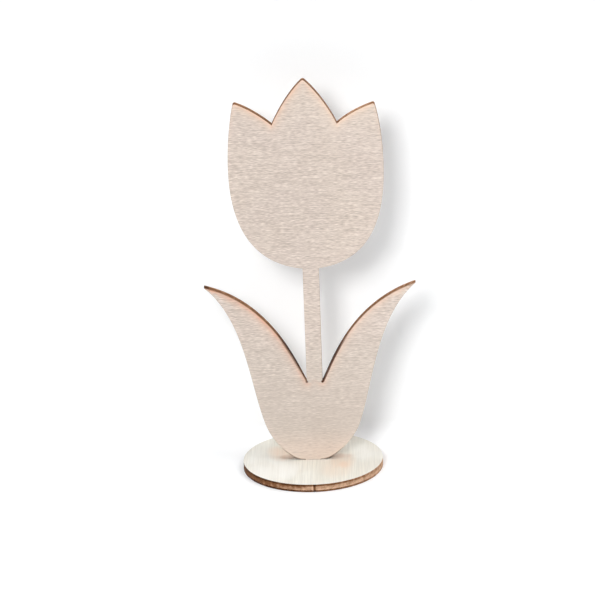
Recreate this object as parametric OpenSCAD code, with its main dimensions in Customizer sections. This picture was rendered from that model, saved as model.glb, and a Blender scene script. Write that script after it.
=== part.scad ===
// Tulip cut from one sheet of three-ply birch plywood, standing by a tab
// in the slot of a round base cut from the same sheet.
// The tulip stands along X and faces -Y. The base lies flat, its underside at Z 0.

/* [Plywood] */
// Thickness of each outer veneer
face_ply = 0.7; // [0.5:0.1:1.5]
// Thickness of the middle veneer
core_ply = 1.6; // [0.8:0.1:3]

/* [Base] */
// Diameter of the round base
base_d = 52; // [44:1:90]

/* [Slot joint] */
// Width of the tab under the foot
tab_w = 6; // [4:0.5:6.5]
// How far the end of the tab stays above the underside of the base
tab_recess = 0.2; // [0.1:0.1:0.6]
// Clearance on each side of the tab in its slot
slot_gap = 0.1; // [0.05:0.05:0.3]

/* [Foot and leaves] */
// Width of the flat foot that stands on the base
foot_w = 7; // [7:0.5:12]
// Width of the body where the round of the foot ends
body_w = 35.2; // [30:0.2:42]
// Height above the base where the round of the foot ends
body_z = 14.5; // [12:0.5:18]
// How far the middle of the body there lies to the right of the foot's
body_x = 0.4; // [-2:0.1:2]
// Distance between the two leaf tips
leaf_span = 78.2; // [64:0.2:92]
// Height of the leaf tips above the base
leaf_z = 69; // [60:0.2:72]
// Height above the base of the forks where the leaves leave the stem
fork_z = 31; // [24:0.2:38]
// How far the middle of the leaves lies to the right of the foot's
leaf_x = 1; // [-2:0.1:2]
// How much lower the handle behind the right leaf tip lies than the left one's
leaf_sag = 1.5; // [0:0.1:4]

/* [Stem] */
// Width of the stem at the forks
stem_low_w = 5.8; // [4:0.2:7]
// Width of the stem under the head
stem_top_w = 6; // [4:0.2:8]
// How far the middle of the stem lies to the right of the foot's
stem_x = 1.6; // [-2:0.1:2.5]

/* [Head] */
// Height above the base where the stem meets the head
head_z = 75.4; // [72:0.2:90]
// Greatest width of the head
head_w = 56.6; // [50:0.2:66]
// How far the middle of the head lies to the right of the foot's
head_x = 1.1; // [-2:0.1:2]
// Height of the widest place above the start of the head
belly_z = 38.6; // [32:0.2:46]
// Distance between the two side petal tips
petal_span = 51; // [44:0.2:56]
// Height of the side petal tips above the start of the head
petal_z = 63.2; // [60:0.2:70]
// How much lower the right petal tip stands than the left one
petal_drop = 1.1; // [0:0.1:2]
// Distance between the two notches beside the middle petal
notch_span = 23.6; // [18:0.2:30]
// Height of the notches above the start of the head
notch_z = 55.3; // [50:0.1:59]
// Height of the middle petal tip above the start of the head
crown_z = 72.3; // [67:0.1:80]
// How far the middle petal tip lies to the right of the foot's middle
crown_x = 1; // [-2:0.1:2]

/* [Cut corners] */
// How far the round of the petal tips runs along each edge
petal_nib = 0.9; // [0.2:0.1:1]
// How far the round of the leaf tips runs along each edge
leaf_nib = 0.6; // [0.2:0.1:0.8]

/* [Hidden] */

sheet_t = 2 * face_ply + core_ply;
tab_h = sheet_t - tab_recess;
cut_over = 1;
crown = [crown_x, head_z + crown_z];

// Steps along each curve of the outline, round each cut tip and round the base
foot_steps = 12;
leaf_steps = 36;
head_steps = 32;
petal_steps = 16;
notch_steps = 10;
crown_steps = 12;
nib_steps = 4;
base_steps = 96;

// Handles that bend the curves on the right side, each drawn from its own end
foot_pull = [4.6, 0];
body_down = [-2.3, -7];
body_up = [5.3, 16];
leaf_under = [-14.8, -12.6];
leaf_over = [-25, -6.4];
fork_up = [3.1, 5.6];
neck_out = [17.2, 2.2];
belly_down = [0, -23];
belly_up = [0, 10];
petal_down = [1.5, -5.7];
petal_in = [-4.2, -1.3];
notch_out = [4.1, 3.6];
notch_up = [-1.9, 4.2];
crown_side = [5.6, -5];
crown_far = [-crown_side[0], crown_side[1]];

wood_pale = "#e9e2d5";
wood_face = "#dccfc3";
wood_core = "#a87f63";

function unit(v) = v / norm(v);

// One point of a curve from a to b, bent by a handle at each end
function bend(a, a_pull, b, b_pull, t) =
    a * pow(1 - t, 3)
    + (a + a_pull) * 3 * t * pow(1 - t, 2)
    + (b + b_pull) * 3 * t * t * (1 - t)
    + b * pow(t, 3);

// Points of that curve from step first to the one before the last of n steps
function curve(a, a_pull, b, b_pull, n, first = 0) =
    [for (i = [first:n - 1]) bend(a, a_pull, b, b_pull, i / n)];

// A sharp tip rounded between the two edges that run away from it, up to its last step
function nib(tip, in_edge, out_edge, r, last = nib_steps) =
    let (a = tip + r * unit(in_edge), b = tip + r * unit(out_edge))
    [for (i = [0:last]) let (t = i / nib_steps)
        a * pow(1 - t, 2) + tip * 2 * t * (1 - t) + b * t * t];

// A point at half the given width from a middle line, on the right or, with side -1, on the left
function at(middle, width, z, side) = [middle + side * width / 2, z];

// One side of the outline, from the tab up to just short of the crown's middle,
// with Z 0 on the base
function half_outline(side) =
    let (
        flip = function(v) [side * v[0], v[1]],
        foot_end = at(0, foot_w, 0, side),
        body_side = at(body_x, body_w, body_z, side),
        leaf_tip = at(leaf_x, leaf_span, leaf_z, side),
        over_pull = flip(leaf_over) - [0, side > 0 ? leaf_sag : 0],
        fork = at(stem_x, stem_low_w, fork_z, side),
        neck = at(stem_x, stem_top_w, head_z, side),
        belly = at(head_x, head_w, head_z + belly_z, side),
        petal_tip = at(head_x, petal_span, head_z + petal_z - side * petal_drop / 2, side),
        notch = at(head_x, notch_span, head_z + notch_z, side)
    )
    concat(
        [at(0, tab_w, -tab_h, side), at(0, tab_w, 0, side)],
        curve(foot_end, flip(foot_pull), body_side, flip(body_down), foot_steps),
        curve(body_side, flip(body_up), leaf_tip, flip(leaf_under), leaf_steps),
        nib(leaf_tip, flip(leaf_under), over_pull, leaf_nib),
        curve(leaf_tip, over_pull, fork, flip(fork_up), leaf_steps, 1),
        [fork, neck],
        curve(neck, flip(neck_out), belly, flip(belly_down), head_steps, 1),
        curve(belly, flip(belly_up), petal_tip, flip(petal_down), petal_steps),
        nib(petal_tip, flip(petal_down), flip(petal_in), petal_nib),
        curve(petal_tip, flip(petal_in), notch, flip(notch_out), notch_steps, 1),
        curve(notch, flip(notch_up), crown, flip(crown_side), crown_steps),
        nib(crown, flip(crown_side), flip(crown_far), petal_nib, nib_steps / 2 - 1)
    );

function backwards(points) = [for (i = [len(points) - 1:-1:0]) points[i]];

crown_top = nib(crown, crown_side, crown_far, petal_nib)[nib_steps / 2];
tulip_outline = concat(half_outline(1), [crown_top], backwards(half_outline(-1)));

// One veneer of the tulip, its front face at Y front
module tulip_veneer(front, thickness) {
    translate([0, front + thickness, sheet_t])
        rotate([90, 0, 0])
            linear_extrude(height = thickness)
                polygon(tulip_outline);
}

// One veneer of the base with its share of the slot, its lower face at Z bottom
module base_veneer(bottom, thickness) {
    slot_w = tab_w + 2 * slot_gap;
    slot_t = sheet_t + 2 * slot_gap;
    difference() {
        translate([0, 0, bottom])
            cylinder(d = base_d, h = thickness, $fn = base_steps);
        translate([-slot_w / 2, -slot_t / 2, bottom - cut_over])
            cube([slot_w, slot_t, thickness + 2 * cut_over]);
    }
}

module tulip_front_veneer() {
    color(wood_face)
        tulip_veneer(-sheet_t / 2, face_ply);
}

module tulip_core_veneer() {
    color(wood_core)
        tulip_veneer(-core_ply / 2, core_ply);
}

module tulip_back_veneer() {
    color(wood_face)
        tulip_veneer(core_ply / 2, face_ply);
}

module base_top_veneer() {
    color(wood_pale)
        base_veneer(face_ply + core_ply, face_ply);
}

module base_core_veneer() {
    color(wood_core)
        base_veneer(face_ply, core_ply);
}

module base_bottom_veneer() {
    color(wood_face)
        base_veneer(0, face_ply);
}

tulip_front_veneer();
tulip_core_veneer();
tulip_back_veneer();
base_top_veneer();
base_core_veneer();
base_bottom_veneer();
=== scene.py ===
import math

import bmesh
import bpy
from mathutils import Matrix, Vector
from mathutils.bvhtree import BVHTree


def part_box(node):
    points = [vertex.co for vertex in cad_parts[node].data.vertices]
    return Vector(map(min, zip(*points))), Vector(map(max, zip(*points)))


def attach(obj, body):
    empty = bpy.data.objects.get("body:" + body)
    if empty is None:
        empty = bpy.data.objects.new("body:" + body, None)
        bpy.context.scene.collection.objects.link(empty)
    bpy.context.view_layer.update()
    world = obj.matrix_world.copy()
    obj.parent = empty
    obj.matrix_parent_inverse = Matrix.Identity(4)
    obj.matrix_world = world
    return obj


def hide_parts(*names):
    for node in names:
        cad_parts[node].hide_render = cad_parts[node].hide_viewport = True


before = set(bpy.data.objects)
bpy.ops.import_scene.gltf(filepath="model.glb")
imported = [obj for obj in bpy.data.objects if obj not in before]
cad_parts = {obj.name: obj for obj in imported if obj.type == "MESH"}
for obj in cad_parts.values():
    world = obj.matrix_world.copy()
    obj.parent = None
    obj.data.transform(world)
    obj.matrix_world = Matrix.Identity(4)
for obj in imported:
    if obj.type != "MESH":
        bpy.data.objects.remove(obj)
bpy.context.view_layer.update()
print("frame loaded:", ", ".join(sorted(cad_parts)))

mm = 0.001
alongX, alongY, alongZ = Vector((1, 0, 0)), Vector((0, 1, 0)), Vector((0, 0, 1))
frontSide, backSide, underSide, topSide, noSide = -1, 1, -1, 1, 0
onPlane = 0.01 * mm      # a corner this close to a plane lies in it
facing = 0.99      # a face turned at least this squarely to a side belongs to that side
slanting = 0.5      # a face turned less than this to either side is a cut wall
rimAngle = 1      # in radians; two faces that meet at more than this make a rim
rimSteps = 2
smoothBelow = math.radians(35)
halfWay = 0.5      # the middle value of a noise


# a colour as a paint chart gives it, 0 to 255, made linear for the shader
def tint(red, green, blue):
    return tuple(((part / 255 + 0.055) / 1.055) ** 2.4 for part in (red, green, blue)) + (1.0,)


# one socket of a finish; a sum on it adds Math nodes
class Wire:
    def __init__(self, finish, socket):
        self.finish = finish
        self.socket = socket

    def math(self, operation, first, second):
        return self.finish.node("ShaderNodeMath", {"operation": operation}, {0: first, 1: second})

    def __add__(self, other):
        return self.math("ADD", self, other)

    def __sub__(self, other):
        return self.math("SUBTRACT", self, other)

    def __rsub__(self, other):
        return self.math("SUBTRACT", other, self)

    def __mul__(self, other):
        return self.math("MULTIPLY", self, other)

    def __truediv__(self, other):
        return self.math("DIVIDE", self, other)

    __radd__ = __add__
    __rmul__ = __mul__


# a material or a world, and the nodes that it is made of
class Finish:
    def __init__(self, owner):
        self.owner = owner
        owner.use_nodes = True
        self.tree = owner.node_tree
        self.tree.nodes.clear()

    def node(self, kind, settings=None, sockets=None, out=0):
        made = self.tree.nodes.new(kind)
        for name, value in (settings or {}).items():
            if name == "stops":
                self.setStops(made.color_ramp, value)
            else:
                setattr(made, name, value)
        for name, value in (sockets or {}).items():
            if isinstance(value, Wire):
                self.tree.links.new(value.socket, made.inputs[name])
            else:
                made.inputs[name].default_value = value
        if made.outputs:
            return Wire(self, made.outputs[out])

    def setStops(self, ramp, stops):
        while len(ramp.elements) < len(stops):
            ramp.elements.new(1.0)
        for element, (place, colour) in zip(ramp.elements, stops):
            element.position = place
            element.color = colour

    # the point being shaded, moved so that each sheet gets its own stretch of grain
    def place(self, moved=(0, 0, 0)):
        here = self.node("ShaderNodeTexCoord", out="Object")
        return self.node("ShaderNodeMapping", None, {"Vector": here, "Location": moved})

    def axes(self, vector):
        return [self.node("ShaderNodeSeparateXYZ", None, {0: vector}, out=axis)
                for axis in range(3)]

    def joined(self, x, y, z):
        return self.node("ShaderNodeCombineXYZ", None, {0: x, 1: y, 2: z})

    # cloudy noise whose blotches measure blotch along X, Y and Z
    def noise(self, place, blotch, detail=2.0):
        scaled = self.node("ShaderNodeVectorMath", {"operation": "DIVIDE"}, {0: place, 1: blotch})
        return self.node("ShaderNodeTexNoise", None,
                         {"Vector": scaled, "Scale": 1.0, "Detail": detail, "Roughness": 0.5})

    # 0 below low and 1 above high, eased between; high below low turns it round
    def ease(self, value, low, high):
        if high < low:
            return 1 - self.ease(value, high, low)
        return self.node("ShaderNodeMapRange", {"interpolation_type": "SMOOTHSTEP"},
                         {"Value": value, "From Min": low, "From Max": high})

    # a value without its sign
    def size(self, value):
        return self.node("ShaderNodeMath", {"operation": "ABSOLUTE"}, {0: value})

    # 1 at a gap of 0, falling away over the given reach
    def fading(self, gap, reach):
        return self.node("ShaderNodeMath", {"operation": "EXPONENT"}, {0: gap * (-1 / reach)})

    def mixed(self, first, second, share):
        return self.node("ShaderNodeMix", {"data_type": "RGBA"},
                         {0: share, 6: first, 7: second}, out=2)

    def brightened(self, colour, factor):
        return self.node("ShaderNodeVectorMath", {"operation": "SCALE"},
                         {0: colour, "Scale": factor})

    def stored(self, name):
        return self.node("ShaderNodeAttribute", {"attribute_name": name}, out="Fac")

    # bare wood: dull, with a little relief
    def wood(self, colour, roughness, height, look):
        bump = self.node("ShaderNodeBump", None, {"Height": height, "Distance": look["relief"]})
        surface = self.node("ShaderNodeBsdfPrincipled", None, {
            "Base Color": colour, "Roughness": roughness, "Normal": bump,
            "Specular IOR Level": look["shine"]})
        self.node("ShaderNodeOutputMaterial", None, {"Surface": surface})
        return self.owner


tulipWood = {
    "tone": tint(215, 200, 188),
    "greyTone": tint(212, 197, 187),
    "cloud": (22 * mm, 9 * mm, 22 * mm),      # blotches of these two, along X, Y and Z
    "cloudFrom": 0.35,
    "cloudTo": 0.65,
    "bodyTone": tint(209, 196, 185),
    "bodyFrom": 58 * mm,
    "bodyTo": 42 * mm,
    "footTone": tint(229, 210, 196),
    "footFrom": 17 * mm,
    "footTo": 5 * mm,
    # the face is made lighter from left to right, a little at the top and towards its cut edges
    "light": 0.93,
    "paleFrom": -25 * mm,
    "paleTo": 35 * mm,
    "paleBy": 0.09,
    "topFrom": 108 * mm,
    "topTo": 135 * mm,
    "topPale": 0.05,
    "rimPale": 0.05,
    "rimPaleReach": 4.0,      # in mm, like every distance from a cut edge below
    # the grain: pale and dark dashes that wander a little, deepest in the head
    "dash": (1.8 * mm, 9 * mm, 0.15 * mm),
    "longDash": (11 * mm, 9 * mm, 0.18 * mm),
    "band": (18 * mm, 9 * mm, 1.6 * mm),
    "wander": (24 * mm, 9 * mm, 8 * mm),
    "wanderBy": 0.4 * mm,
    "paleDash": tint(243, 231, 220),
    "darkDash": tint(184, 169, 158),
    "dashDepth": 4.0,
    "longDashDepth": 2.4,
    "bandDepth": 0.06,
    "footGrain": 0.45,      # how much of that depth is left at the foot
    "grainFrom": 5 * mm,
    "grainTo": 65 * mm,
    "roughness": 0.72,
    "roughBy": 0.3,
    "shine": 0.25,
    "relief": 0.012 * mm,
    # the heat of the laser tints the wood along its upward edges, most on the left leaf
    "leftScorch": tint(226, 173, 143),
    "rightScorch": tint(243, 211, 189),
    "leftPetalScorch": tint(237, 202, 177),
    "rightPetalScorch": tint(246, 219, 197),
    "rightFrom": -10 * mm,
    "rightTo": 24 * mm,
    "petalsFrom": 80 * mm,
    "petalsTo": 110 * mm,
    "scorchReach": 1.2,
    "patch": (5 * mm, 9 * mm, 4 * mm),      # the scorch is uneven in patches of this size
    "patchLeast": 0.4,
    "patchBy": 1.1,
    # a thin browned line along the leaves' upper edges
    "arris": tint(116, 84, 62),
    "arrisFrom": 0.36,
    "arrisTo": 0.1,
    "arrisBy": 0.62,
    # soot along the cuts above the forks, each on its side of the stem: middle, reach, strength
    "char": tint(70, 34, 10),
    "sootFrom": 0.7,
    "sootTo": 0.4,
    "sooted": [((-7.0 * mm, 44.0 * mm), 10 * mm, 0.65), ((6.5 * mm, 38.5 * mm), 18 * mm, 1.15)],
    "besideFrom": 0.5 * mm,
    "besideTo": 3 * mm,
    # a burnt dot in each fork: middle and strength
    "dots": [((-1.3 * mm, 34.0 * mm), 0.7), ((4.5 * mm, 34.0 * mm), 1.0)],
    "dotSize": 0.5 * mm,
    "dotOuter": 1.5,      # where a dot ends and where it is full, of its size squared
    "dotInner": 0.4,
    # the foot's rim: a burnt line against the base that is partly painted contact shade,
    # with a pale one above it
    "rimFrom": 9 * mm,
    "rimTo": 5 * mm,
    "rimPaler": tint(240, 223, 208),
    "rimPalerFrom": 1.3,
    "rimPalerTo": 0.6,
    "rimPalerBy": 0.5,
    "rimLine": tint(132, 104, 84),
    "rimLineFrom": 0.45,
    "rimLineTo": 0.15,
    "rimLineBy": 0.8,
}


# the face of a sheet of the tulip, whose grain runs along X
def tulipFace(name, moved, look=tulipWood):
    finish = Finish(bpy.data.materials.new(name))
    x, _, z = finish.axes(finish.place())
    place = finish.place(moved)
    alongGrain, depth, up = finish.axes(place)
    wander = finish.noise(place, look["wander"], detail=1.0)
    grain = finish.joined(alongGrain, depth, up + (wander - halfWay) * look["wanderBy"])
    dash = finish.noise(grain, look["dash"], detail=1.0)
    longDash = finish.noise(grain, look["longDash"], detail=1.0)
    band = finish.noise(grain, look["band"])
    cloud = finish.noise(place, look["cloud"])
    tone = finish.mixed(look["tone"], look["greyTone"],
                        finish.ease(cloud, look["cloudFrom"], look["cloudTo"]))
    tone = finish.mixed(tone, look["bodyTone"], finish.ease(z, look["bodyFrom"], look["bodyTo"]))
    tone = finish.mixed(tone, look["footTone"], finish.ease(z, look["footFrom"], look["footTo"]))
    inHead = finish.ease(z, look["petalsFrom"], look["petalsTo"])
    depthOfGrain = (look["footGrain"] + finish.ease(z, look["grainFrom"], look["grainTo"])
                    * (1 - look["footGrain"]))
    figure = ((dash - halfWay) * look["dashDepth"] + (longDash - halfWay) * look["longDashDepth"]
              + (band - halfWay) * look["bandDepth"]) * depthOfGrain
    gap, upward = finish.stored("gap"), finish.stored("upward")
    light = (look["light"] + finish.ease(x, look["paleFrom"], look["paleTo"]) * look["paleBy"]
             + finish.ease(z, look["topFrom"], look["topTo"]) * look["topPale"]
             + finish.fading(gap, look["rimPaleReach"]) * look["rimPale"])
    toRight = finish.ease(x, look["rightFrom"], look["rightTo"])
    tinge = finish.mixed(finish.mixed(look["leftScorch"], look["rightScorch"], toRight),
                         finish.mixed(look["leftPetalScorch"], look["rightPetalScorch"], toRight),
                         inHead)
    patch = finish.noise(place, look["patch"], detail=1.0)
    scorch = (finish.fading(gap, look["scorchReach"]) * upward
              * (look["patchLeast"] + look["patchBy"] * patch))
    colour = finish.mixed(finish.brightened(tone, light), look["paleDash"], figure)
    colour = finish.mixed(finish.mixed(colour, look["darkDash"], 0 - figure), tinge, scorch)
    arris = finish.ease(gap, look["arrisFrom"], look["arrisTo"]) * upward * (1 - inHead)
    colour = finish.mixed(colour, look["arris"], arris * look["arrisBy"])
    soot = finish.ease(gap, look["sootFrom"], look["sootTo"]) * upward
    for (midX, midZ), reach, strength in look["sooted"]:
        across, above = x - midX, z - midZ
        near = finish.ease(across * across + above * above, reach ** 2, 0.0)
        beside = finish.ease(x * math.copysign(1.0, midX), look["besideFrom"], look["besideTo"])
        colour = finish.mixed(colour, look["char"], soot * near * beside * strength)
    for (midX, midZ), strength in look["dots"]:
        across, above = x - midX, z - midZ
        dot = finish.ease(across * across + above * above,
                          look["dotOuter"] * look["dotSize"] ** 2,
                          look["dotInner"] * look["dotSize"] ** 2)
        colour = finish.mixed(colour, look["char"], dot * strength)
    # along the foot: a pale line, and below it a burnt line that is partly painted contact shade
    atFoot = finish.ease(z, look["rimFrom"], look["rimTo"])
    for line in ("rimPaler", "rimLine"):
        there = finish.ease(gap, look[line + "From"], look[line + "To"]) * atFoot
        colour = finish.mixed(colour, look[line], there * look[line + "By"])
    rough = look["roughness"] + (dash - halfWay) * look["roughBy"]
    return finish.wood(colour, rough, dash + longDash, look)


baseWood = {
    "tone": tint(235, 233, 224),
    "greyTone": tint(230, 226, 215),
    "warm": tint(238, 206, 180),
    # the colour of the smears beside the foot, which are partly painted contact shade
    "soot": tint(190, 155, 132),
    # the tone of the pale patches: pale wood, and painted light where the tulip shades the disc
    "paleSpotAndLightTone": tint(249, 248, 243),
    "streak": (0.25 * mm, 14 * mm, 9 * mm),
    "longStreak": (0.6 * mm, 40 * mm, 9 * mm),
    "cloud": (7 * mm, 16 * mm, 9 * mm),
    "cloudFrom": 0.35,
    "cloudTo": 0.65,
    "streakDepth": 0.44,
    "longStreakDepth": 0.07,
    "roughness": 0.7,
    "roughBy": 0.3,
    "shine": 0.25,
    "relief": 0.02 * mm,
    # middle, half size and strength of the warm stains in the top veneer, of its pale places,
    # some of them painted light where the tulip shades the disc, and of the two sooty smears
    # beside the foot, which are partly painted contact shade
    "stains": [((10.9 * mm, -3.5 * mm), (4.4 * mm, 8.0 * mm), 0.45),
               ((11.2 * mm, -7.0 * mm), (1.9 * mm, 3.4 * mm), 0.4),
               ((8.5 * mm, -11.0 * mm), (6.0 * mm, 9.0 * mm), 0.3),
               ((-12.0 * mm, 6.0 * mm), (5.0 * mm, 7.0 * mm), 0.5)],
    "paleSpotsAndPaintedLight": [((-19.0 * mm, 0.0 * mm), (7.0 * mm, 9.0 * mm), 0.45),
                 ((-14.0 * mm, -12.0 * mm), (9.0 * mm, 8.0 * mm), 0.65),
                 ((21.0 * mm, 4.0 * mm), (6.0 * mm, 9.0 * mm), 0.35)],
    "sootAndContactShade": [((-9.0 * mm, 1.6 * mm), (3.4 * mm, 2.2 * mm), 0.45),
               ((10.2 * mm, 1.4 * mm), (4.6 * mm, 2.4 * mm), 0.4)],
    "markRagged": 2.0,      # how far the clouds push a mark's rim in and out
    "markEdge": 1.8,      # where a mark ends, of its half size squared
    "markLeast": 0.6,
    "markBy": 0.8,
}


# the face of a sheet of the base: paler, its grain along Y, the top one with stains
def baseFace(name, moved, stained, look=baseWood):
    finish = Finish(bpy.data.materials.new(name))
    x, y, _ = finish.axes(finish.place())
    place = finish.place(moved)
    streak = finish.noise(place, look["streak"])
    longStreak = finish.noise(place, look["longStreak"])
    cloud = finish.noise(place, look["cloud"])
    tone = finish.mixed(look["tone"], look["greyTone"],
                        finish.ease(cloud, look["cloudFrom"], look["cloudTo"]))
    light = (1 + (streak - halfWay) * look["streakDepth"]
             + (longStreak - halfWay) * look["longStreakDepth"])
    colour = finish.brightened(tone, light)
    marks = []
    if stained:
        # pale patches, some of them painted light over the tulip's shadow on the disc
        marks = [(look["paleSpotAndLightTone"], *mark) for mark in look["paleSpotsAndPaintedLight"]]
        marks += [(look["warm"], *mark) for mark in look["stains"]]
        # the smears beside the foot: soot, and partly painted contact shade
        marks += [(look["soot"], *mark) for mark in look["sootAndContactShade"]]
    for tinge, (midX, midY), (halfX, halfY), strength in marks:
        across, along = (x - midX) / halfX, (y - midY) / halfY
        away = across * across + along * along + (cloud - halfWay) * look["markRagged"]
        share = (finish.ease(away, look["markEdge"], 0.0)
                 * (look["markLeast"] + look["markBy"] * longStreak))
        colour = finish.mixed(colour, tinge, share * strength)
    rough = look["roughness"] + (streak - halfWay) * look["roughBy"]
    return finish.wood(colour, rough, streak + longStreak, look)


cutEdge = {
    "clean": tint(222, 184, 154),
    "brown": tint(136, 94, 63),
    "brownAt": 0.5,
    "char": tint(62, 32, 13),
    "mottle": (1.3 * mm, 1.3 * mm, 1.3 * mm),
    "speck": (0.28 * mm, 0.28 * mm, 0.28 * mm),
    "mottleDepth": 0.9,
    "speckDepth": 0.3,
    "glueHalf": 0.09 * mm,
    "glueBurn": 0.3,
    "roughness": 0.85,
    "charSmooths": 0.2,      # a burnt cut is a little smoother
    "shine": 0.08,
    "relief": 0.05 * mm,
}

# where the laser started and ended on the base: a dark mark with a pale one beside it
laserStart = {
    "burntAt": 0.8 * mm,
    "burntHalf": 0.75 * mm,
    "burntBy": 0.6,
    "paleAt": 0.05 * mm,
    "paleHalf": 0.45 * mm,
    "paleBy": 0.3,
    "frontFrom": -20 * mm,
    "frontTo": -24 * mm,
}
laserEntry = {"from": 1.0 * mm, "to": 2.3 * mm, "burn": 0.2}


# the laser's cut, tan to black, with a dark line where two veneers are glued; it can be
# darker towards the side where the laser came in, and carry the mark where it started
def cutFace(name, acrossSheet, glueLines, entry=None, started=None, look=cutEdge):
    finish = Finish(bpy.data.materials.new(name))
    place = finish.place()
    axes = finish.axes(place)
    mottle = finish.noise(place, look["mottle"], detail=3.0)
    speck = finish.noise(place, look["speck"], detail=1.0)
    burnt = (finish.stored("burnt") + (mottle - halfWay) * look["mottleDepth"]
             + (speck - halfWay) * look["speckDepth"])
    for height in glueLines:
        away = finish.size(axes[acrossSheet] - height)
        burnt = burnt + finish.ease(away, look["glueHalf"], 0.0) * look["glueBurn"]
    if entry:
        burnt = burnt + finish.ease(axes[acrossSheet], entry["from"], entry["to"]) * entry["burn"]
    if started:
        front = finish.ease(axes[1], started["frontFrom"], started["frontTo"])
        dark = finish.ease(finish.size(axes[0] - started["burntAt"]), started["burntHalf"], 0.0)
        pale = finish.ease(finish.size(axes[0] - started["paleAt"]), started["paleHalf"], 0.0)
        burnt = burnt + front * (dark * started["burntBy"] - pale * started["paleBy"])
    colour = finish.node("ShaderNodeValToRGB", {"stops": [
        (0.0, look["clean"]), (look["brownAt"], look["brown"]), (1.0, look["char"])]}, {0: burnt})
    rough = look["roughness"] - burnt * look["charSmooths"]
    return finish.wood(colour, rough, mottle + speck, look)


def pickOnly(piece):
    bpy.ops.object.select_all(action="DESELECT")
    piece.select_set(True)
    bpy.context.view_layer.objects.active = piece


def workOn(piece):
    pickOnly(piece)
    bpy.ops.object.mode_set(mode="EDIT")


def pickFaces(piece, wanted):
    bpy.ops.mesh.select_mode(type="FACE")
    shape = bmesh.from_edit_mesh(piece.data)
    for face in shape.faces:
        face.select = wanted(face)
    shape.select_flush_mode()
    bmesh.update_edit_mesh(piece.data)


def pickEdges(piece, wanted):
    bpy.ops.mesh.select_mode(type="EDGE")
    bpy.ops.mesh.select_all(action="DESELECT")
    shape = bmesh.from_edit_mesh(piece.data)
    for edge in shape.edges:
        edge.select = wanted(edge)
    shape.select_flush_mode()
    bmesh.update_edit_mesh(piece.data)


def applyAll(piece):
    pickOnly(piece)
    for modifier in list(piece.modifiers):
        bpy.ops.object.modifier_apply(modifier=modifier.name)


def store(piece, name, domain, values):
    layer = piece.data.attributes.new(name, "FLOAT", domain)
    layer.data.foreach_set("value", values)


# gives a piece its two materials and smooth rims, puts it under its body and hides its CAD node
def finishMesh(piece, face, edge, isEdge, body, node):
    mesh = piece.data
    mesh.materials.clear()
    mesh.materials.append(face)
    mesh.materials.append(edge)
    mesh.polygons.foreach_set("material_index", [int(isEdge(f)) for f in mesh.polygons])
    pickOnly(piece)
    bpy.ops.object.shade_smooth_by_angle(angle=smoothBelow)
    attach(piece, body)
    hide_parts(node)
    print("made", piece.name, len(mesh.polygons), "faces")


# what the tulip's three sheets share: the scorch grid and how the laser burnt their edges
tulipCutOut = {
    "mergeWithin": 0.001 * mm,
    "straightWithin": 0.3,      # degrees between two faces that are one
    "gridStep": 1.0 * mm,
    "gluedEase": 0.02 * mm,
    "endGrainBurn": 0.3,
    # where the laser burnt more or less: middle, reach and by how much
    "burns": [((-7.0 * mm, 44.0 * mm), 8 * mm, 0.8), ((8.5 * mm, 43.0 * mm), 8 * mm, 0.8),
              ((5.5 * mm, 36.0 * mm), 5 * mm, 0.8), ((-2.0 * mm, 35.5 * mm), 3.5 * mm, -0.5),
              ((-38.0 * mm, 72.0 * mm), 2 * mm, 0.5),
              ((36 * mm, 70 * mm), 12 * mm, -0.15), ((-32 * mm, 70 * mm), 12 * mm, -0.04),
              ((20 * mm, 138 * mm), 7 * mm, -0.26), ((-20 * mm, 138 * mm), 7 * mm, -0.06),
              ((-3 * mm, 142 * mm), 5 * mm, 0.2)],
    # an edge is scorched where it faces upwards, from this slope to the next
    "levelFrom": 0.05,
    "levelTo": 0.5,
}


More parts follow.
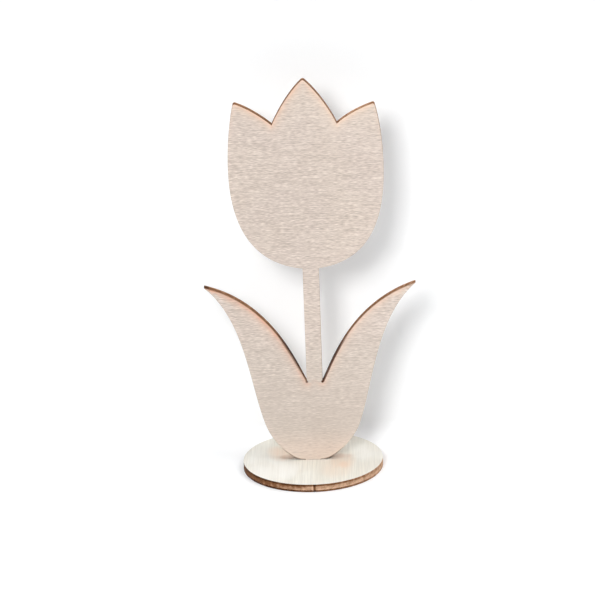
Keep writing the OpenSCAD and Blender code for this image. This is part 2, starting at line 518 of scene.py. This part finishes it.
# a sheet of the tulip from its CAD node, with eased edges and its scorched rim measured
def tulipSheet(look, face, edge, cutOut=tulipCutOut):
    piece = bpy.data.objects.new(look["name"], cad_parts[look["node"]].data.copy())
    bpy.context.scene.collection.objects.link(piece)
    low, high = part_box(look["node"])
    workOn(piece)
    bpy.ops.mesh.select_all(action="SELECT")
    bpy.ops.mesh.remove_doubles(threshold=cutOut["mergeWithin"])
    bpy.ops.mesh.dissolve_limited(angle_limit=math.radians(cutOut["straightWithin"]))
    sideY = {frontSide: low.y, backSide: high.y}
    for side, y in sideY.items():
        pickEdges(piece, lambda e: all(abs(corner.co.y - y) < onPlane for corner in e.verts))
        ease = look["ease"] if side == look["seen"] else cutOut["gluedEase"]
        bpy.ops.mesh.bevel(offset=ease, segments=rimSteps, affect="EDGES", clamp_overlap=False)
    if look["seen"] != noSide:
        for normal, first, last in ((alongX, low.x, high.x), (alongZ, low.z, high.z)):
            for count in range(1, int((last - first) / cutOut["gridStep"]) + 1):
                pickFaces(piece, lambda f: f.normal.y * look["seen"] > facing)
                spot = normal * (first + count * cutOut["gridStep"])
                bpy.ops.mesh.bisect(plane_co=spot, plane_no=normal)
    bpy.ops.object.mode_set(mode="OBJECT")

    def isWall(face):
        return abs(face.normal.y) < slanting

    # each point learns how far the cut edge is and whether that edge faces upwards
    mesh = piece.data
    walls = [f for f in mesh.polygons if isWall(f)]
    tree = BVHTree.FromPolygons([v.co for v in mesh.vertices], [list(f.vertices) for f in walls])
    nearest = [tree.find_nearest(v.co) for v in mesh.vertices]
    steep = cutOut["levelTo"] - cutOut["levelFrom"]
    store(piece, "gap", "POINT", [gap / mm for _, _, _, gap in nearest])
    store(piece, "upward", "POINT", [
        min(1, max(0, (walls[index].normal.z - cutOut["levelFrom"]) / steep))
        for _, _, index, _ in nearest])

    def burnAt(wall):
        burn = look["burn"] + cutOut["endGrainBurn"] * abs(wall.normal.dot(look["grain"]))
        for (midX, midZ), reach, more in cutOut["burns"]:
            away = math.hypot(wall.center.x - midX, wall.center.z - midZ)
            burn += more * math.exp(-(away / reach) ** 2)
        return burn

    store(piece, "burnt", "FACE", [burnAt(wall) for wall in mesh.polygons])
    finishMesh(piece, face, edge, isWall, "tulip", look["node"])


# what the base's three sheets share: the disc, its slot and how the laser burnt its rim
baseCutOut = {
    "rounds": 256,
    "slotWide": 6.2 * mm,
    "slotDeep": 3.2 * mm,
    "gluedEase": 0.02 * mm,
    "endGrainBurn": 0.25,
    "leftBurn": 0.32,      # more on the left of the rim, less on its right
}


# a sheet of the base: a disc with the slot cut through it and its rims eased
def baseSheet(look, face, edge, cutOut=baseCutOut):
    low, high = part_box(look["node"])
    bpy.ops.mesh.primitive_cylinder_add(
        vertices=cutOut["rounds"], radius=(high.x - low.x) / 2, depth=high.z - low.z,
        end_fill_type="NGON", location=(low + high) / 2)
    piece = bpy.context.object
    piece.name = piece.data.name = look["name"]
    bpy.ops.object.transform_apply(location=True, rotation=True, scale=True)
    bpy.ops.mesh.primitive_cube_add(size=1, location=(low + high) / 2)
    cutter = bpy.context.object
    cutter.scale = (cutOut["slotWide"], cutOut["slotDeep"], 2 * (high.z - low.z))
    slot = piece.modifiers.new("slot", "BOOLEAN")
    slot.operation = "DIFFERENCE"
    slot.solver = "EXACT"
    slot.object = cutter
    applyAll(piece)
    bpy.data.objects.remove(cutter)
    sideZ = {underSide: low.z, topSide: high.z}
    workOn(piece)
    for side, z in sideZ.items():
        pickEdges(piece, lambda e: e.calc_face_angle(0) > rimAngle
                  and all(abs(corner.co.z - z) < onPlane for corner in e.verts))
        ease = look["ease"] if side == look["seen"] else cutOut["gluedEase"]
        bpy.ops.mesh.bevel(offset=ease, segments=rimSteps, affect="EDGES", clamp_overlap=False)
    bpy.ops.object.mode_set(mode="OBJECT")
    store(piece, "burnt", "FACE", [
        look["burn"] + cutOut["endGrainBurn"] * abs(f.normal.dot(look["grain"]))
        - cutOut["leftBurn"] * f.normal.x for f in piece.data.polygons])
    finishMesh(piece, face, edge, lambda f: abs(f.normal.z) < slanting, "base",
               look["node"])


# where each sheet lies in the grain, and the heights of the glue lines across each cut
grainAt = {"front": (0, 0, 0), "back": (310 * mm, 200 * mm, 170 * mm),
           "top": (0, 0, 0), "under": (400 * mm, 100 * mm, 300 * mm)}
glueAt = {"tulip": (-0.8 * mm, 0.8 * mm), "base": (0.7 * mm, 2.3 * mm)}
acrossTulip, acrossBase = 1, 2      # the axis that runs through each sheet

frontWood = tulipFace("birchFront", grainAt["front"])
backWood = tulipFace("birchBack", grainAt["back"])
tulipCut = cutFace("tulipCut", acrossTulip, glueAt["tulip"])
topWood = baseFace("birchBaseTop", grainAt["top"], True)
underWood = baseFace("birchBaseUnder", grainAt["under"], False)
baseCut = cutFace("baseCut", acrossBase, glueAt["base"], laserEntry, laserStart)
print("finishes made")

tulipFront = {"name": "tulip_front_sheet", "node": "tulip_front_veneer", "slot": "tulip_face",
              "seen": frontSide, "ease": 0.07 * mm, "grain": alongX, "burn": 0.45}
tulipSheet(tulipFront, frontWood, tulipCut)

tulipCore = {"name": "tulip_core_sheet", "node": "tulip_core_veneer", "slot": "core",
             "seen": noSide, "ease": 0.02 * mm, "grain": alongZ, "burn": 0.3}
tulipSheet(tulipCore, tulipCut, tulipCut)

tulipBack = {"name": "tulip_back_sheet", "node": "tulip_back_veneer", "slot": "tulip_face",
             "seen": backSide, "ease": 0.07 * mm, "grain": alongX, "burn": 0.2}
tulipSheet(tulipBack, backWood, tulipCut)

baseTop = {"name": "base_top_sheet", "node": "base_top_veneer", "slot": "base_face",
           "seen": topSide, "ease": 0.1 * mm, "grain": alongY, "burn": 0.28}
baseSheet(baseTop, topWood, baseCut)

baseCore = {"name": "base_core_sheet", "node": "base_core_veneer", "slot": "core",
            "seen": noSide, "ease": 0.02 * mm, "grain": alongX, "burn": 0.12}
baseSheet(baseCore, baseCut, baseCut)

baseUnder = {"name": "base_bottom_sheet", "node": "base_bottom_veneer", "slot": "base_face",
             "seen": underSide, "ease": 0.1 * mm, "grain": alongY, "burn": 0.5}
baseSheet(baseUnder, underWood, baseCut)

studio = {
    "floorHalf": 600 * mm,
    "wallAt": 29 * mm,
    "wallHigh": 600 * mm,
    "cove": 6 * mm,
    "coveSteps": 16,
    "white": (0.95, 0.95, 0.95, 1),
    "lift": 0.108,      # what the paper adds to its own white where the camera sees it
    "liftTint": (0.72, 0.87, 1.0, 1),      # a little cool, against the warm light off the wood
    "skyLevel": 0.02,
}


# 1 for a ray that comes from the camera, also by a mirror or through glass
def seenByCamera(finish):
    return sum(finish.node("ShaderNodeLightPath", out=ray)
               for ray in ("Is Camera Ray", "Is Glossy Ray", "Is Transmission Ray"))


# matt white paper, a little brighter to the camera and clear from behind
def whitePaper():
    finish = Finish(bpy.data.materials.new("whitePaper"))
    matt = finish.node("ShaderNodeBsdfDiffuse", None, {"Color": studio["white"]})
    glow = finish.node("ShaderNodeEmission", None, {
        "Color": studio["liftTint"], "Strength": studio["lift"]})
    both = finish.node("ShaderNodeAddShader", None, {0: matt, 1: glow})
    paper = finish.node("ShaderNodeMixShader", None, {0: seenByCamera(finish), 1: matt, 2: both})
    behind = finish.node("ShaderNodeNewGeometry", out="Backfacing")
    clear = finish.node("ShaderNodeBsdfTransparent")
    surface = finish.node("ShaderNodeMixShader", None, {0: behind, 1: paper, 2: clear})
    finish.node("ShaderNodeOutputMaterial", None, {"Surface": surface})
    return finish.owner


# white to the camera, dim as a light
def whiteSky():
    finish = Finish(bpy.data.worlds.new("whiteSky"))
    dim, white = (
        finish.node("ShaderNodeBackground", None, {"Color": (1, 1, 1, 1), "Strength": level})
        for level in (studio["skyLevel"], 1.0))
    sky = finish.node("ShaderNodeMixShader", None, {0: seenByCamera(finish), 1: dim, 2: white})
    finish.node("ShaderNodeOutputWorld", None, {"Surface": sky})
    return finish.owner


# the floor runs up into a backdrop close behind the base, which takes the tulip's shadow
bpy.ops.mesh.primitive_plane_add(size=2 * studio["floorHalf"], location=(0, 0, 0))
floor = bpy.context.object
floor.name = "floor"
workOn(floor)
pickEdges(floor, lambda e: all(v.co.y > 0 for v in e.verts))
bpy.ops.transform.translate(value=(0, studio["wallAt"] - studio["floorHalf"], 0))
bpy.ops.mesh.extrude_region_move(TRANSFORM_OT_translate={"value": (0, 0, studio["wallHigh"])})
pickEdges(floor, lambda e: all(
    abs(v.co.y - studio["wallAt"]) < mm and abs(v.co.z) < mm for v in e.verts))
bpy.ops.mesh.bevel(offset=studio["cove"], segments=studio["coveSteps"], affect="EDGES",
                   clamp_overlap=False)
bpy.ops.object.mode_set(mode="OBJECT")
bpy.ops.object.shade_smooth_by_angle(angle=smoothBelow)
floor.data.materials.append(whitePaper())
bpy.context.scene.world = whiteSky()
print("floor and backdrop made")


# the way from the middle of the ornament to a place this many degrees to its right and up
def towards(toRight, up):
    right, high = math.radians(toRight), math.radians(up)
    return Vector((math.sin(right) * math.cos(high), -math.cos(right) * math.cos(high),
                   math.sin(high)))


middle = Vector((0, 0, 75 * mm))

# where each lamp stands, in degrees and metres, how wide it is and its power
keyLamp = {"name": "keyLamp", "toRight": -12, "up": 29, "away": 1.1, "across": 0.3,
           "watts": 6.8}
rightLamp = {"name": "rightLamp", "toRight": 72, "up": 52, "away": 1.2, "across": 0.8,
             "watts": 7.0}
leftLamp = {"name": "leftLamp", "toRight": -72, "up": 52, "away": 1.2, "across": 0.8,
            "watts": 2.7}

for look in (keyLamp, rightLamp, leftLamp):
    light = bpy.data.lights.new(look["name"], "AREA")
    light.shape = "SQUARE"
    light.size = look["across"]
    light.energy = look["watts"]
    lamp = bpy.data.objects.new(look["name"], light)
    lamp.visible_camera = False
    bpy.context.scene.collection.objects.link(lamp)
    back = towards(look["toRight"], look["up"])
    lamp.location = middle + back * look["away"]
    lamp.rotation_mode = "QUATERNION"
    lamp.rotation_quaternion = (-back).to_track_quat("-Z", "Y")
print("lamps placed")

# the camera looks at the middle, then turns, tips and rolls by these degrees
shot = {"toRight": 1.5, "up": 19.6, "away": 1.5, "turned": -0.105, "tipped": -0.3325,
        "rolled": -2.06, "lens": 245.4, "sensor": 36}

back = towards(shot["toRight"], shot["up"])
side = (-back).cross(alongZ).normalized()
axes = Matrix((side, back.cross(side), back)).transposed()
turn = Matrix.Rotation(math.radians(-shot["turned"]), 3, "Y")
tip = Matrix.Rotation(math.radians(shot["tipped"]), 3, "X")
roll = Matrix.Rotation(math.radians(shot["rolled"]), 3, "Z")
lens = bpy.data.cameras.new("camera")
lens.lens = shot["lens"]
lens.sensor_width = shot["sensor"]
camera = bpy.data.objects.new("camera", lens)
camera.location = middle + back * shot["away"]
camera.rotation_mode = "QUATERNION"
camera.rotation_quaternion = (axes @ turn @ tip @ roll).to_quaternion()
bpy.context.scene.collection.objects.link(camera)
bpy.context.scene.camera = camera
bpy.context.scene.view_settings.view_transform = "Standard"
print("camera placed")
